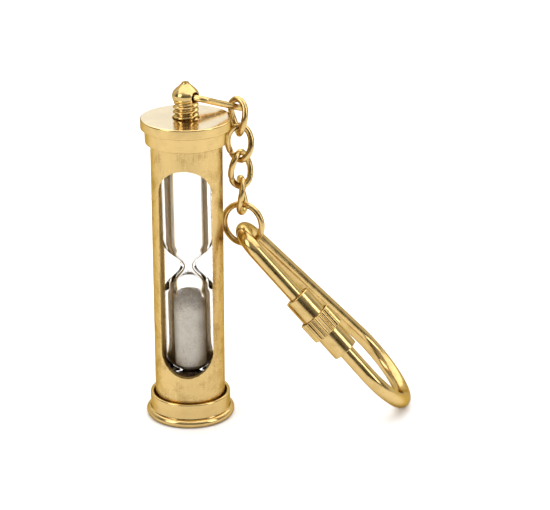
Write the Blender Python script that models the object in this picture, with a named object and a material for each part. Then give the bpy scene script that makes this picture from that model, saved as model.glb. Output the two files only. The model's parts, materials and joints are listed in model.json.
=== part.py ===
"""Brass sand-timer key fob: a windowed brass tube with a glass vial of sand, turned caps,
a screwed finial, a short chain and a pear-shaped key ring with a screw lock.

Metres, +Z up. The origin is the centre of the base's flat underside, and +X points from the
tube towards the chain and the key ring. The window faces -Y.
"""
import math

import bmesh
import bpy
from mathutils import Matrix, Vector

MM = 0.001
GAP = 0.3 * MM             # clearance between neighbouring pieces

# Body: tube and caps
BODY_HEIGHT = 66.5 * MM    # underside of the base to the cap's top face
TUBE_RADIUS = 7.5 * MM
TUBE_WALL = 1.2 * MM
SOCKET_WALL = 0.8 * MM     # metal round the tube in each cap's socket
FLANGE_STEP = 0.9 * MM     # how far each flange stands out past its socket
CAP_FLANGE_HEIGHT = 2.1 * MM
CAP_SKIRT_HEIGHT = 3.1 * MM
BASE_BEAD_HEIGHT = 1.7 * MM
BASE_COLLAR_HEIGHT = 3.5 * MM
SOCKET_FLOOR = 2.3 * MM    # metal left above and below the tube's ends
EDGE_ROUND = 0.35 * MM

# Windows milled through the tube, front and back
WINDOW_WIDTH = 11.0 * MM
WINDOW_BOTTOM = 10.8 * MM
WINDOW_TOP_MARGIN = 9.4 * MM   # from the window's top to the cap's top face
WINDOW_TURN = math.radians(-2.5)

# Vial and sand
VIAL_PLAY = 1.1 * MM       # between the vial and the tube's bore, room for it to lean
VIAL_WALL = 1.8 * MM       # heavy glass, which makes the sand column look slim
VIAL_END_WALL = 1.2 * MM
VIAL_REACH = 1.3 * MM      # how far the vial's ends stand past the window's ends
VIAL_CROWN = 2.6 * MM      # height of each rounded end
NECK_RADIUS = 1.7 * MM
NECK_BORE = 0.75 * MM
NECK_TAPER = 5.2 * MM      # from the neck to the bulb's full width
VIAL_LEAN = math.radians(-0.6)
FILL_HOLE = 0.8 * MM
SAND_FILL = 0.85           # sand height as a share of the lower bulb's straight part
SAND_MOUND = 1.3 * MM
PLUG_RECESS = 0.9 * MM     # depth of the cork's seat round the vial's end

# Finial
HEAD_OVERHANG = 0.15 * MM  # how far the head stands out past the stud
FINIAL_HEIGHT = 7.5 * MM
FINIAL_NECK = 0.47         # share of its height below the head
FINIAL_WIDEST = 0.66
STUD_RADIUS = 2.65 * MM
STUD_TAIL = 1.0 * MM       # how far the stud stands out below the cap's plate
THREAD_DEPTH = 0.3 * MM
THREAD_PITCH = 1.05 * MM
CROSS_HOLE_PLAY = 0.45 * MM    # round the wire
CROSS_HOLE_HEIGHT = 4.6 * MM   # hole's centre above the cap's top face
CROSS_HOLE_AZIMUTH = math.radians(-38)

# Wire loop and chain
HANG_AZIMUTH = math.radians(22)      # where the loop's far end stands, round the tube
WIRE_RADIUS = 0.7 * MM
LINK_LENGTH = 7.4 * MM     # centre line to centre line
LINK_PLAY = 2.2 * MM       # inside a link, beside the wire of the next
LINK_COUNT = 4
LINK_TURN = math.radians(42)     # each link is twisted by this from its top to its bottom
FIRST_LINK_FACE = math.radians(-57)    # sideways direction at the middle of the first link
JUMP_RING_RADIUS = 4.35 * MM
CHAIN_LEAN_X = 1.0 * MM    # how far the chain drifts on its way down
CHAIN_LEAN_Y = -1.05 * MM

# Key ring: two round ends of different size joined by straight bars
BAR_RADIUS = 1.65 * MM
RING_LENGTH = 52.0 * MM    # along the bar's centre line
RING_SMALL_END = 4.9 * MM
RING_LARGE_END = 11.4 * MM
RING_AZIMUTH = math.radians(2.5)
RING_OPENING = 4.2 * MM    # clear gap between the bar's ends, under the barrel

# Screw-lock barrel
SLEEVE_WALL = 0.9 * MM
SLEEVE_LENGTH = 15.6 * MM
SLEEVE_START = 12.6 * MM   # along the straight bar from its upper end
COLLAR_WALL = 0.5 * MM
COLLAR_LENGTH = 4.6 * MM
COLLAR_TEETH = 20
TOOTH_DEPTH = 0.22 * MM

TURNED_STEPS = 44
WIRE_SIDES = 2             # bevel resolution of the thin wires
BAR_SIDES = 4

# Radii that follow
SOCKET_RADIUS = TUBE_RADIUS + GAP
SKIRT_RADIUS = SOCKET_RADIUS + SOCKET_WALL
FLANGE_RADIUS = SKIRT_RADIUS + FLANGE_STEP
TUBE_BORE = TUBE_RADIUS - TUBE_WALL
VIAL_RADIUS = TUBE_BORE - VIAL_PLAY
FINIAL_HEAD_RADIUS = STUD_RADIUS + HEAD_OVERHANG
CROSS_HOLE_RADIUS = WIRE_RADIUS + CROSS_HOLE_PLAY
LINK_WIDTH = 4 * WIRE_RADIUS + LINK_PLAY
SLEEVE_RADIUS = BAR_RADIUS + GAP + SLEEVE_WALL
COLLAR_RADIUS = SLEEVE_RADIUS + GAP + COLLAR_WALL

# Heights that follow
CAP_FLANGE_BOTTOM = BODY_HEIGHT - CAP_FLANGE_HEIGHT
CAP_BOTTOM = CAP_FLANGE_BOTTOM - CAP_SKIRT_HEIGHT
BASE_TOP = BASE_BEAD_HEIGHT + BASE_COLLAR_HEIGHT
TUBE_BOTTOM = SOCKET_FLOOR + GAP
TUBE_TOP = BODY_HEIGHT - SOCKET_FLOOR - GAP
WINDOW_TOP = BODY_HEIGHT - WINDOW_TOP_MARGIN
VIAL_MIDDLE = (WINDOW_TOP + WINDOW_BOTTOM) / 2
VIAL_HALF = (WINDOW_TOP - WINDOW_BOTTOM) / 2 + VIAL_REACH


def clear_scene():
    """Start from an empty file."""
    for obj in list(bpy.data.objects):
        bpy.data.objects.remove(obj, do_unlink=True)


def material(name, colour, roughness, metallic, transmission=0.0):
    """A Principled material in the piece's own finish."""
    mat = bpy.data.materials.new(name)
    mat.use_nodes = True
    shader = mat.node_tree.nodes["Principled BSDF"]
    shader.inputs["Base Color"].default_value = (*colour, 1.0)
    shader.inputs["Roughness"].default_value = roughness
    shader.inputs["Metallic"].default_value = metallic
    shader.inputs["Transmission Weight"].default_value = transmission
    return mat


def brass(name, roughness=0.25):
    """Yellow brass, brighter or duller by its roughness."""
    return material(name, (0.72, 0.50, 0.18), roughness, 1.0)


def add_mesh(name, bm, mat, sharp_angle=math.radians(35)):
    """Turn a bmesh into a named object with outward faces, shaded smooth between sharp edges."""
    bmesh.ops.recalc_face_normals(bm, faces=bm.faces)
    mesh = bpy.data.meshes.new(name)
    bm.to_mesh(mesh)
    bm.free()
    mesh.materials.append(mat)
    mesh.shade_smooth()
    mesh.set_sharp_from_angle(angle=sharp_angle)
    obj = bpy.data.objects.new(name, mesh)
    bpy.context.collection.objects.link(obj)
    return obj


def arc(centre, radius, start, end, steps):
    """Points (r, z) on a circular arc, angles in degrees from +r."""
    angles = [math.radians(start + (end - start) * i / steps) for i in range(steps + 1)]
    return [(centre[0] + radius * math.cos(a), centre[1] + radius * math.sin(a)) for a in angles]


def turned(name, outline, mat, steps=TURNED_STEPS):
    """Spin a closed outline of (radius, height) points round Z into one solid."""
    bm = bmesh.new()
    verts = [bm.verts.new((max(r, 0.0), 0.0, z)) for r, z in outline]
    on_axis = [r <= 0 for r, _ in outline]
    count = len(verts)
    pairs = [(i, (i + 1) % count) for i in range(count)]
    edges = [bm.edges.new((verts[i], verts[j])) for i, j in pairs if not (on_axis[i] and on_axis[j])]
    bmesh.ops.spin(bm, geom=verts + edges, cent=(0, 0, 0), axis=(0, 0, 1),
                   angle=math.tau, steps=steps, use_merge=True)
    bmesh.ops.remove_doubles(bm, verts=bm.verts, dist=1e-7)
    bmesh.ops.dissolve_degenerate(bm, edges=bm.edges, dist=1e-8)
    return add_mesh(name, bm, mat)


def cut(obj, cutter):
    """Subtract a cutter, which is a guide and not a piece of the object."""
    cutter.hide_render = True
    cutter.display_type = "WIRE"
    boolean = obj.modifiers.new("cut_" + cutter.name, "BOOLEAN")
    boolean.operation = "DIFFERENCE"
    boolean.object = cutter


def cylinder_cutter(name, radius, length, placement, steps=32):
    """A cylinder about its own Z axis, put in place by a matrix."""
    bm = bmesh.new()
    bmesh.ops.create_cone(bm, cap_ends=True, segments=steps, radius1=radius, radius2=radius, depth=length)
    obj = add_mesh(name, bm, material(name, (1, 0, 0), 0.5, 0.0))
    obj.matrix_world = placement
    return obj


def wire(name, points, radius, sides, mat, closed=True):
    """A round bar along a path of points."""
    curve = bpy.data.curves.new(name, "CURVE")
    curve.dimensions = "3D"
    curve.bevel_depth = radius
    curve.bevel_resolution = sides
    curve.use_fill_caps = True
    spline = curve.splines.new("POLY")
    spline.points.add(len(points) - 1)
    for point, place in zip(spline.points, points):
        point.co = (*place, 1.0)
    spline.use_cyclic_u = closed
    spline.use_smooth = True
    curve.materials.append(mat)
    obj = bpy.data.objects.new(name, curve)
    bpy.context.collection.objects.link(obj)
    return obj


def smooth_loop(corners, steps):
    """A closed Catmull-Rom curve through the corner points."""
    count = len(corners)
    points = []
    for i in range(count):
        p0, p1, p2, p3 = (corners[(i + k - 1) % count] for k in range(4))
        for j in range(steps):
            t = j / steps
            points.append(0.5 * (2 * p1 + (p2 - p0) * t + (2 * p0 - 5 * p1 + 4 * p2 - p3) * t ** 2
                                 + (3 * p1 - p0 - 3 * p2 + p3) * t ** 3))
    return points


def moved_to_origin(obj, points, pivot):
    """Give a wire piece its origin at its pivot, with its path measured from there."""
    for point, place in zip(obj.data.splines[0].points, points):
        point.co = (*(place - pivot), 1.0)
    obj.location = pivot


# ---------------------------------------------------------------- body

def make_tube():
    """The body: a plain tube with a round-ended window milled through its front and back."""
    tube = turned("body_tube", [(TUBE_BORE, TUBE_BOTTOM), (TUBE_RADIUS, TUBE_BOTTOM),
                                (TUBE_RADIUS, TUBE_TOP), (TUBE_BORE, TUBE_TOP)],
                  brass("tube_brass", 0.35), steps=56)
    radius = WINDOW_WIDTH / 2
    low, high = WINDOW_BOTTOM + radius, WINDOW_TOP - radius
    steps = 12
    outline = [(radius * math.cos(a), high + radius * math.sin(a))
               for a in (math.pi * i / steps for i in range(steps + 1))]
    outline += [(radius * math.cos(a), low + radius * math.sin(a))
                for a in (math.pi * (1 + i / steps) for i in range(steps + 1))]
    bm = bmesh.new()
    depth = 1.5 * TUBE_RADIUS
    face = bm.faces.new([bm.verts.new((x, -depth, z)) for x, z in outline])
    extruded = bmesh.ops.extrude_face_region(bm, geom=[face])
    front = [v for v in extruded["geom"] if isinstance(v, bmesh.types.BMVert)]
    bmesh.ops.translate(bm, verts=front, vec=(0, 2 * depth, 0))
    cutter = add_mesh("window_cutter", bm, material("cutter", (1, 0, 0), 0.5, 0.0))
    cutter.rotation_euler.z = WINDOW_TURN
    cut(tube, cutter)


def make_top_cap():
    """Flange, skirt, the socket that takes the tube and the hole that takes the finial's stud."""
    e = EDGE_ROUND
    hole = STUD_RADIUS + GAP
    outline = [(hole, BODY_HEIGHT)]
    outline += arc((FLANGE_RADIUS - e, BODY_HEIGHT - e), e, 90, 0, 3)
    outline += arc((FLANGE_RADIUS - e, CAP_FLANGE_BOTTOM + e), e, 0, -90, 3)
    outline += [(SKIRT_RADIUS, CAP_FLANGE_BOTTOM)]
    outline += arc((SKIRT_RADIUS - e, CAP_BOTTOM + e), e, 0, -90, 3)
    outline += [(SOCKET_RADIUS, CAP_BOTTOM), (SOCKET_RADIUS, BODY_HEIGHT - SOCKET_FLOOR),
                (hole, BODY_HEIGHT - SOCKET_FLOOR)]
    turned("top_cap", outline, brass("cap_brass", 0.2))


def make_base_cap():
    """Collar with a rounded bead below it, and the socket that the tube stands in."""
    e = EDGE_ROUND
    bead = BASE_BEAD_HEIGHT / 2
    outline = [(0.0, 0.0)]
    outline += arc((FLANGE_RADIUS - bead, bead), bead, -90, 90, 6)
    outline += [(SKIRT_RADIUS, BASE_BEAD_HEIGHT)]
    outline += arc((SKIRT_RADIUS - e, BASE_TOP - e), e, 0, 90, 3)
    outline += [(SOCKET_RADIUS, BASE_TOP), (SOCKET_RADIUS, SOCKET_FLOOR), (0.0, SOCKET_FLOOR)]
    turned("base_cap", outline, brass("base_brass", 0.2))


# ---------------------------------------------------------------- vial, sand and corks

def vial_frame():
    """The vial's own axes: its middle on the tube's axis, leaning a little."""
    return Matrix.Translation((0, 0, VIAL_MIDDLE)) @ Matrix.Rotation(VIAL_LEAN, 4, "Y")


def bulb_radius(z, wide, narrow):
    """Radius at height z from the neck: a cosine sweep from the neck to the bulb's full width."""
    share = min(abs(z) / NECK_TAPER, 1.0)
    return narrow + (wide - narrow) * (1 - math.cos(math.pi * share)) / 2


def bulb_side(wide, narrow, half, crown, steps=8):
    """The side of the vial from its lower crown to its upper one, with (radius, height) points."""
    heights = [NECK_TAPER * (i / steps * 2 - 1) for i in range(steps + 1)]
    points = [(wide, -half + crown)]
    points += [(bulb_radius(z, wide, narrow), z) for z in heights]
    return points + [(wide, half - crown)]


def crown(radius, height, base, sign, last=0.0, steps=5):
    """A rounded end: a quarter ellipse from the side to the radius given in last."""
    top = math.acos(min(last / radius, 1.0))
    return [(radius * math.cos(top * i / steps), base + sign * height * math.sin(top * i / steps))
            for i in range(1, steps + 1)]


def make_vial():
    """Blown glass with two bulbs. Its top end keeps the small hole that it was filled through."""
    half, wide = VIAL_HALF, VIAL_RADIUS
    inner = VIAL_RADIUS - VIAL_WALL
    inner_half, inner_crown = half - VIAL_END_WALL, VIAL_CROWN - VIAL_WALL / 2
    outside = [(0.0, -half)] + crown(wide, VIAL_CROWN, -half + VIAL_CROWN, -1)[-2::-1]
    outside += bulb_side(wide, NECK_RADIUS, half, VIAL_CROWN)
    outside += crown(wide, VIAL_CROWN, half - VIAL_CROWN, 1, FILL_HOLE)
    inside = [(0.0, -inner_half)] + crown(inner, inner_crown, -inner_half + inner_crown, -1)[-2::-1]
    inside += bulb_side(inner, NECK_BORE, inner_half, inner_crown)
    inside += crown(inner, inner_crown, inner_half - inner_crown, 1, FILL_HOLE)
    vial = turned("glass_vial", outside + inside[::-1],
                  material("clear_glass", (0.95, 0.97, 0.96), 0.02, 0.0, 1.0), steps=40)
    vial.matrix_world = vial_frame()


def make_sand():
    """Fine pale sand that fills most of the lower bulb, with a low mound on top."""
    radius = VIAL_RADIUS - VIAL_WALL - GAP
    bottom = -VIAL_HALF + VIAL_END_WALL + GAP
    dome = VIAL_CROWN - VIAL_WALL / 2 - GAP / 2
    low = bottom + dome
    top = low + (-NECK_TAPER - low) * SAND_FILL
    outline = [(0.0, bottom)] + crown(radius, dome, low, -1)[-2::-1] + [(radius, low), (radius, top)]
    outline += [(radius * 0.5, top + SAND_MOUND * 0.7), (0.0, top + SAND_MOUND)]
    sand = turned("sand", outline, material("pale_sand", (0.62, 0.55, 0.46), 0.9, 0.0), steps=40)
    sand.matrix_world = vial_frame()


def make_corks():
    """The two corks that hold the vial's ends, each with a seat that leans with the vial."""
    radius = TUBE_BORE - GAP
    seat_radius = VIAL_RADIUS + GAP
    seat_length = 4 * PLUG_RECESS
    vial_end = VIAL_HALF + GAP
    rim = VIAL_HALF - PLUG_RECESS
    ends = {"lower_cork": (SOCKET_FLOOR + GAP, VIAL_MIDDLE - rim, -1),
            "upper_cork": (VIAL_MIDDLE + rim, BODY_HEIGHT - SOCKET_FLOOR - GAP - STUD_TAIL, 1)}
    for name, (low, high, sign) in ends.items():
        cork = turned(name, [(0.0, low), (radius, low), (radius, high), (0.0, high)],
                      material(name + "_material", (0.30, 0.19, 0.10), 0.85, 0.0), steps=40)
        place = vial_frame() @ Matrix.Translation((0, 0, sign * (vial_end - seat_length / 2)))
        cut(cork, cylinder_cutter(name + "_cutter", seat_radius, seat_length, place))


# ---------------------------------------------------------------- finial and its wire loop

HOLE_AXIS = Vector((math.cos(CROSS_HOLE_AZIMUTH), math.sin(CROSS_HOLE_AZIMUTH), 0))
HOLE_SIDE = Vector((-math.sin(CROSS_HOLE_AZIMUTH), math.cos(CROSS_HOLE_AZIMUTH), 0))
HOLE_CENTRE = Vector((0, 0, BODY_HEIGHT + CROSS_HOLE_HEIGHT))
LOOP_FALL = (CROSS_HOLE_HEIGHT - WIRE_RADIUS - GAP) / FLANGE_RADIUS   # it just clears the flange


def make_finial():
    """Acorn head on a coarse thread that screws through the cap's plate."""
    bottom = BODY_HEIGHT - SOCKET_FLOOR - STUD_TAIL + GAP
    neck = BODY_HEIGHT + FINIAL_HEIGHT * FINIAL_NECK
    root = STUD_RADIUS - THREAD_DEPTH
    outline = [(0.0, bottom), (root, bottom)]
    turns = int((neck - BODY_HEIGHT) / THREAD_PITCH)
    outline += [(STUD_RADIUS, bottom + THREAD_DEPTH), (STUD_RADIUS, BODY_HEIGHT)]
    for turn in range(turns):
        foot = BODY_HEIGHT + turn * THREAD_PITCH
        outline += [(root, foot + 0.15 * THREAD_PITCH), (root, foot + 0.35 * THREAD_PITCH),
                    (STUD_RADIUS, foot + 0.6 * THREAD_PITCH), (STUD_RADIUS, foot + 0.85 * THREAD_PITCH)]
    widest = BODY_HEIGHT + FINIAL_HEIGHT * FINIAL_WIDEST
    outline += [(root, neck), (FINIAL_HEAD_RADIUS * 0.93, neck + 0.25 * (widest - neck)),
                (FINIAL_HEAD_RADIUS, widest)]
    top = BODY_HEIGHT + FINIAL_HEIGHT
    outline += [(FINIAL_HEAD_RADIUS * 0.88, widest + 0.35 * (top - widest)),
                (FINIAL_HEAD_RADIUS * 0.55, widest + 0.72 * (top - widest)),
                (FINIAL_HEAD_RADIUS * 0.27, widest + 0.97 * (top - widest)),
                (FINIAL_HEAD_RADIUS * 0.15, top), (0.0, top)]
    finial = turned("finial", outline, brass("finial_brass", 0.2), steps=32)
    turn = HOLE_AXIS.to_track_quat("Z", "Y").to_matrix().to_4x4()
    place = Matrix.Translation(HOLE_CENTRE) @ turn
    cut(finial, cylinder_cutter("cross_hole_cutter", CROSS_HOLE_RADIUS, 4 * FINIAL_HEAD_RADIUS, place, 24))


def on_loop_plane(along, side):
    """A point of the wire loop from its distance along the cross hole and sideways from it."""
    return HOLE_CENTRE + HOLE_AXIS * along + HOLE_SIDE * side - Vector((0, 0, LOOP_FALL * side))


# The loop's far end stands just outside the flange, so that the first link hangs clear of it.
HANG_RADIUS = FLANGE_RADIUS + WIRE_RADIUS + GAP + LINK_WIDTH / 6
HANG_FLAT = Vector((HANG_RADIUS * math.cos(HANG_AZIMUTH), HANG_RADIUS * math.sin(HANG_AZIMUTH), 0))
HANG = on_loop_plane(HANG_FLAT.dot(HOLE_AXIS), HANG_FLAT.dot(HOLE_SIDE))


def make_finial_link():
    """The bent wire through the finial's cross hole, falling to the flange's edge."""
    mouth = FINIAL_HEAD_RADIUS * 0.75
    far_along = HANG_FLAT.dot(HOLE_AXIS)
    far_side = HANG_FLAT.dot(HOLE_SIDE)
    half_head = FINIAL_HEAD_RADIUS + WIRE_RADIUS + GAP
    corners = [(-mouth, 0), (mouth, 0), (half_head + 0.8 * MM, 0.9 * MM),
               (0.45 * half_head + 0.55 * far_along, 0.38 * far_side), (far_along, far_side),
               (far_along - 1.0 * MM, far_side + 2.6 * MM), (far_along - 3.2 * MM, far_side + 3.0 * MM),
               (0.25 * far_along, 0.93 * far_side), (-0.30 * far_along, 0.62 * far_side),
               (-half_head + 0.1 * MM, 0.22 * far_side)]
    path = smooth_loop([on_loop_plane(a, s) for a, s in corners], 5)
    link = wire("finial_link", path, WIRE_RADIUS, WIRE_SIDES, brass("wire_brass", 0.3))
    moved_to_origin(link, path, HOLE_CENTRE)


# ---------------------------------------------------------------- chain

LINK_STEP = LINK_LENGTH - 2 * WIRE_RADIUS - GAP      # from one hanging point to the next
CHAIN_TOP = HANG + Vector((0.1 * MM, 0.1 * MM, 0))
RING_CLEAR = BAR_RADIUS + WIRE_RADIUS + GAP          # bar's axis to the jump ring's wire
CHAIN_FALL = LINK_COUNT * LINK_STEP + 2 * JUMP_RING_RADIUS - 2 * WIRE_RADIUS - GAP - RING_CLEAR
CHAIN_DROP = math.sqrt(CHAIN_FALL ** 2 - CHAIN_LEAN_X ** 2 - CHAIN_LEAN_Y ** 2)
CHAIN_DOWN = Vector((CHAIN_LEAN_X, CHAIN_LEAN_Y, -CHAIN_DROP)).normalized()
FACE_STEP = math.pi / 2 - LINK_TURN    # so that each end crosses the next link at a right angle
LINK_FACES = [FIRST_LINK_FACE + FACE_STEP * i for i in range(LINK_COUNT)]
JUMP_RING_FACE = LINK_FACES[-1] - LINK_TURN / 2 - math.pi / 2


def plane_across(down, face):
    """The sideways direction of a link that hangs along down, facing that way round from +X."""
    flat = Vector((math.cos(face), math.sin(face), 0))
    return (flat - down * flat.dot(down)).normalized()


def turned_about(vector, axis, angle):
    """A vector turned about an axis by the right-hand rule."""
    return Matrix.Rotation(angle, 3, axis) @ vector


def oval(centre, down, across, length, width, turn, steps):
    """A link's centre line: an ellipse whose sideways direction turns from its top to its bottom."""
    points = []
    for i in range(steps):
        angle = math.tau * i / steps
        drop = math.sin(angle)
        sideways = turned_about(across, down, turn / 2 * drop)
        points.append(centre + down * (length / 2 * drop) + sideways * (width / 2 * math.cos(angle)))
    return points


def make_chain():
    """Four twisted oval links and a jump ring, each crossing the one above at a right angle."""
    mat = brass("chain_brass", 0.3)
    hang = CHAIN_TOP
    for number, face in enumerate(LINK_FACES, start=1):
        centre = hang + CHAIN_DOWN * (LINK_LENGTH / 2 - 2 * WIRE_RADIUS - GAP)
        path = oval(centre, CHAIN_DOWN, plane_across(CHAIN_DOWN, face), LINK_LENGTH, LINK_WIDTH,
                    LINK_TURN, 26)
        link = wire(f"chain_link_{number}", path, WIRE_RADIUS, WIRE_SIDES, mat)
        moved_to_origin(link, path, hang)
        hang = hang + CHAIN_DOWN * LINK_STEP
    centre = hang + CHAIN_DOWN * (JUMP_RING_RADIUS - 2 * WIRE_RADIUS - GAP)
    across = plane_across(CHAIN_DOWN, JUMP_RING_FACE)
    path = oval(centre, CHAIN_DOWN, across, 2 * JUMP_RING_RADIUS, 2 * JUMP_RING_RADIUS, 0.0, 28)
    ring = wire("jump_ring", path, WIRE_RADIUS, WIRE_SIDES, mat)
    moved_to_origin(ring, path, hang)


# ---------------------------------------------------------------- key ring and screw lock

RING_TOP = CHAIN_TOP + CHAIN_DOWN * CHAIN_FALL
RING_SINK = min((RING_TOP.z - BAR_RADIUS) / RING_LENGTH, 1.0)   # the large end rests on the table
RING_HEADING = Vector((math.cos(RING_AZIMUTH), math.sin(RING_AZIMUTH), 0))
RING_LONG = RING_HEADING * math.sqrt(1 - RING_SINK ** 2) - Vector((0, 0, RING_SINK))
RING_WIDE = Vector((-math.sin(RING_AZIMUTH), math.cos(RING_AZIMUTH), 0))
SMALL_CENTRE = RING_TOP + RING_LONG * RING_SMALL_END
LARGE_CENTRE = RING_TOP + RING_LONG * (RING_LENGTH - RING_LARGE_END)
TAPER = math.asin((RING_LARGE_END - RING_SMALL_END) / (LARGE_CENTRE - SMALL_CENTRE).length)
FRONT_NORMAL = -RING_LONG * math.sin(TAPER) - RING_WIDE * math.cos(TAPER)
FRONT_START = SMALL_CENTRE + FRONT_NORMAL * RING_SMALL_END
FRONT_END = LARGE_CENTRE + FRONT_NORMAL * RING_LARGE_END
BAR_AXIS = (FRONT_END - FRONT_START).normalized()
SLEEVE_TOP = FRONT_START + BAR_AXIS * SLEEVE_START
SLEEVE_MIDDLE = SLEEVE_TOP + BAR_AXIS * (SLEEVE_LENGTH / 2)


def ring_arc(centre, radius, start, end, steps):
    """Points of one round end. Angles run in the ring's plane from its long direction."""
    return [centre + radius * (RING_LONG * math.cos(a) + RING_WIDE * math.sin(a))
            for a in (start + (end - start) * i / steps for i in range(steps + 1))]


def make_key_ring():
    """One bent bar whose ends face each other inside the barrel."""
    lower_end = SLEEVE_MIDDLE + BAR_AXIS * (RING_OPENING / 2)
    upper_end = SLEEVE_MIDDLE - BAR_AXIS * (RING_OPENING / 2)
    side = math.pi / 2 + TAPER
    path = [lower_end]
    path += ring_arc(LARGE_CENTRE, RING_LARGE_END, -side, side, 26)
    path += ring_arc(SMALL_CENTRE, RING_SMALL_END, side, math.tau - side, 16)
    path += [upper_end]
    ring = wire("key_ring", path, BAR_RADIUS, BAR_SIDES, brass("ring_brass", 0.25), closed=False)
    moved_to_origin(ring, path, RING_TOP)


def along_bar():
    """Axes with Z along the straight bar and the origin at the barrel's middle."""
    return Matrix.Translation(SLEEVE_MIDDLE) @ BAR_AXIS.to_track_quat("Z", "Y").to_matrix().to_4x4()


def make_sleeve():
    """The smooth barrel that bridges the ring's opening."""
    bore = BAR_RADIUS + GAP
    half, e = SLEEVE_LENGTH / 2, 0.5 * EDGE_ROUND
    outline = [(bore, -half), (SLEEVE_RADIUS - e, -half), (SLEEVE_RADIUS, -half + e),
               (SLEEVE_RADIUS, half - e), (SLEEVE_RADIUS - e, half), (bore, half)]
    sleeve = turned("lock_sleeve", outline, brass("sleeve_brass", 0.2), steps=32)
    sleeve.matrix_world = along_bar()


def make_collar():
    """The straight-knurled grip round the middle of the barrel."""
    bore = SLEEVE_RADIUS + GAP
    half, e = COLLAR_LENGTH / 2, 0.5 * EDGE_ROUND
    count = 2 * COLLAR_TEETH
    bm = bmesh.new()
    rings = []
    for height, outer in ((-half, -e), (-half + e, 0), (half - e, 0), (half, -e), (half, None), (-half, None)):
        ring = []
        for i in range(count):
            radius = bore if outer is None else COLLAR_RADIUS + outer - TOOTH_DEPTH * (i % 2)
            angle = math.tau * i / count
            ring.append(bm.verts.new((radius * math.cos(angle), radius * math.sin(angle), height)))
        rings.append(ring)
    for lower, upper in zip(rings, rings[1:] + rings[:1]):
        for i in range(count):
            j = (i + 1) % count
            bm.faces.new((lower[i], lower[j], upper[j], upper[i]))
    collar = add_mesh("knurled_collar", bm, brass("collar_brass", 0.25), math.radians(15))
    collar.matrix_world = along_bar()


clear_scene()
make_tube()
make_top_cap()
make_base_cap()
make_vial()
make_sand()
make_corks()
make_finial()
make_finial_link()
make_chain()
make_key_ring()
make_sleeve()
make_collar()
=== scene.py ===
# %% [markdown]
# A brass sand-timer key fob, made in Blender with numpy surfaces
#
# The object is a windowed brass tube that holds a glass vial of sand. A cap and a foot close the
# tube, a small finial is screwed into the cap, and a chain runs from it to a key ring with a
# screw lock. The frame holds the working model: its sizes, its joints and where everything is.
# This script builds the fine surfaces round that frame and gives each one its finish.

# %% Load the frame
import json
import math

import bmesh
import bpy
import numpy as np
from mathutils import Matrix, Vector


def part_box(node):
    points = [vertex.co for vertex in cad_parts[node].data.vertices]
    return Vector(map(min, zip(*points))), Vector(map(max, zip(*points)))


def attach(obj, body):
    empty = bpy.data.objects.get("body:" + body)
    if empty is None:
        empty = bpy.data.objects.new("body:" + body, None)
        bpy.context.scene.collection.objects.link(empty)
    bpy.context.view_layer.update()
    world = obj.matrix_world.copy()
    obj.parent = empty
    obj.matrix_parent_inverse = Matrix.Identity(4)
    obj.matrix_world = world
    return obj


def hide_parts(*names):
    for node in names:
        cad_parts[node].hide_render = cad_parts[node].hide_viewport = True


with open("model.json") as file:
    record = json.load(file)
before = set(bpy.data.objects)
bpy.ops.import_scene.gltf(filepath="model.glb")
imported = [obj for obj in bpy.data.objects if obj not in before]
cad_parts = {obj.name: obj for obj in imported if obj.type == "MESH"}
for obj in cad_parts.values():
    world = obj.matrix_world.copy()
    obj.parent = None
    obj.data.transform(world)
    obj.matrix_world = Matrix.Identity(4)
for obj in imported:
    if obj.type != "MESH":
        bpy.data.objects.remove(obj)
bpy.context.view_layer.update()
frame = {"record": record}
joints = {joint["name"]: joint for joint in frame["record"]["behaviour"]["joints"]}

# %% [markdown]
# ## The camera and the set
#
# A long lens from a little above shows the round ends as narrow ellipses. The camera comes
# first because every later choice, such as how fine a thread must be, depends on what it sees.
# The set is a plain pale floor under an even white sky, the way small polished things are shot.

# %% Camera
MM = 0.001
CAMERA_TARGET = np.array([18.32, 0.0, 36.15]) * MM
CAMERA_DISTANCE = 421.6 * MM
CAMERA_PITCH = math.radians(20.92)
CAMERA_LENS = 130.7


def make_camera():
    """A camera that looks along +Y and down by the pitch, at the given distance from its target."""
    data = bpy.data.cameras.new("camera")
    data.lens = CAMERA_LENS
    data.sensor_width = 36.0
    data.clip_start = 0.01
    camera = bpy.data.objects.new("camera", data)
    bpy.context.collection.objects.link(camera)
    back = np.array([0.0, -math.cos(CAMERA_PITCH), math.sin(CAMERA_PITCH)])
    camera.location = CAMERA_TARGET + back * CAMERA_DISTANCE
    camera.rotation_euler = (math.pi / 2 - CAMERA_PITCH, 0.0, 0.0)
    bpy.context.scene.camera = camera
    return camera


camera = make_camera()
print("camera at", np.round(np.array(camera.location), 3))

# %% [markdown]
# ## Surfaces as arrays
#
# Almost every piece here is a grid: rows run along a profile or a path, columns run round it.
# A grid is easy to work out as whole numpy arrays, and its faces always follow the same rule.
# Where a row shrinks to a point, the doubles are merged so that the pole is closed, and the
# signed volume says whether the faces look outwards.

# %% Mesh helpers
TAU = 2 * math.pi
TURN_STEPS = 160    # columns round a turned piece, unless it says otherwise
WIRE_SIDES = 28     # columns round a wire


def grid_quads(rows, cols, wrap_rows=False):
    """Quads of a grid that closes round its columns. Row i, column j is vertex i * cols + j."""
    i = np.arange(rows if wrap_rows else rows - 1)[:, None]
    j = np.arange(cols)[None, :]
    here, above = i * cols, ((i + 1) % rows) * cols
    right = (j + 1) % cols
    return np.stack([here + j, here + right, above + right, above + j], axis=-1).reshape(-1, 4)


def grid_uv(rows, cols, wrap_rows=False):
    """UV of every quad corner: u goes once round the columns and v once along the rows."""
    steps = rows if wrap_rows else rows - 1
    i = np.repeat(np.arange(steps), cols)
    j = np.tile(np.arange(cols), steps)
    u = np.stack([j, j + 1, j + 1, j], axis=-1) / cols
    v = np.stack([i, i, i + 1, i + 1], axis=-1) / steps
    return np.stack([u, v], axis=-1).reshape(-1, 2)


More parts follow.
